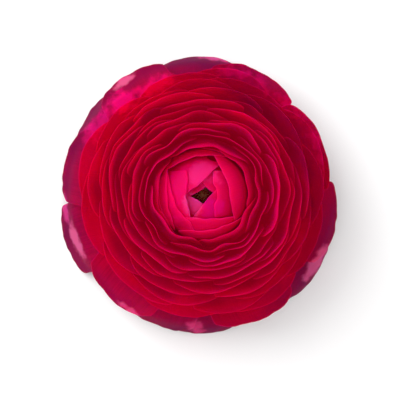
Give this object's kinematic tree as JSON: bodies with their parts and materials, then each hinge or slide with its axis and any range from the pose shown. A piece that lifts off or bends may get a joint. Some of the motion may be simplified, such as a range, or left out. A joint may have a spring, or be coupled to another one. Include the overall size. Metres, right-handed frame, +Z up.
{
  "type": "ranunculus flower",
  "caption": "Double ranunculus flower head with a tight domed bud, rings of overlapping crimson petals and drooping guard petals, cut below its sepals.",
  "frame": {"origin": "under the middle of the flower's box, on the surface that it rests on", "axes": "+Z up out of the open flower, +X to the right and +Y away as the flower is seen face on from above"},
  "size_m": [0.0824, 0.0832, 0.0447],
  "materials": {
    "bud_petal": "soft satin petal, hot pink outer face",
    "open_petal": "velvety matte petal, deep crimson inner face, pinker outer face and rim",
    "guard_petal": "satin petal, crimson turning purple magenta at the rim, fine veins",
    "sepal": "matte downy green",
    "stalk": "satin green, fine hairs and ribs",
    "carpel": "olive, bumpy, slightly glossy tips",
    "stamen": "dark purple black, powdery"
  },
  "bodies": {
    "root": {"bud_petal_1": "bud_petal", "bud_petal_2": "bud_petal", "bud_petal_3": "bud_petal", "bud_petal_4": "bud_petal", "bud_petal_5": "bud_petal", "bud_petal_6": "bud_petal", "bud_petal_7": "bud_petal", "bud_petal_8": "bud_petal", "bud_petal_9": "bud_petal", "bud_petal_10": "bud_petal", "bud_petal_11": "bud_petal", "bud_petal_12": "bud_petal", "bud_petal_13": "bud_petal", "bud_petal_14": "bud_petal", "bud_petal_15": "bud_petal", "open_petal_3": "open_petal", "open_petal_6": "open_petal", "open_petal_9": "open_petal", "open_petal_12": "open_petal", "open_petal_15": "open_petal", "open_petal_18": "open_petal", "open_petal_21": "open_petal", "open_petal_24": "open_petal", "open_petal_27": "open_petal", "open_petal_30": "open_petal", "open_petal_33": "open_petal", "open_petal_36": "open_petal", "open_petal_39": "open_petal", "open_petal_42": "open_petal", "open_petal_45": "open_petal", "open_petal_48": "open_petal", "open_petal_51": "open_petal", "open_petal_54": "open_petal", "open_petal_57": "open_petal", "open_petal_60": "open_petal", "open_petal_63": "open_petal", "open_petal_66": "open_petal", "open_petal_69": "open_petal", "open_petal_72": "open_petal", "guard_petal_1": "guard_petal", "guard_petal_2": "guard_petal", "guard_petal_3": "guard_petal", "guard_petal_4": "guard_petal", "guard_petal_5": "guard_petal", "guard_petal_6": "guard_petal", "guard_petal_7": "guard_petal", "guard_petal_8": "guard_petal", "guard_petal_9": "guard_petal", "guard_petal_10": "guard_petal", "guard_petal_11": "guard_petal", "guard_petal_12": "guard_petal", "guard_petal_13": "guard_petal", "sepal_1": "sepal", "sepal_2": "sepal", "sepal_3": "sepal", "sepal_4": "sepal", "sepal_5": "sepal", "stalk": "stalk", "carpels": "carpel", "stamens": "stamen"}
  },
  "joints": []
}
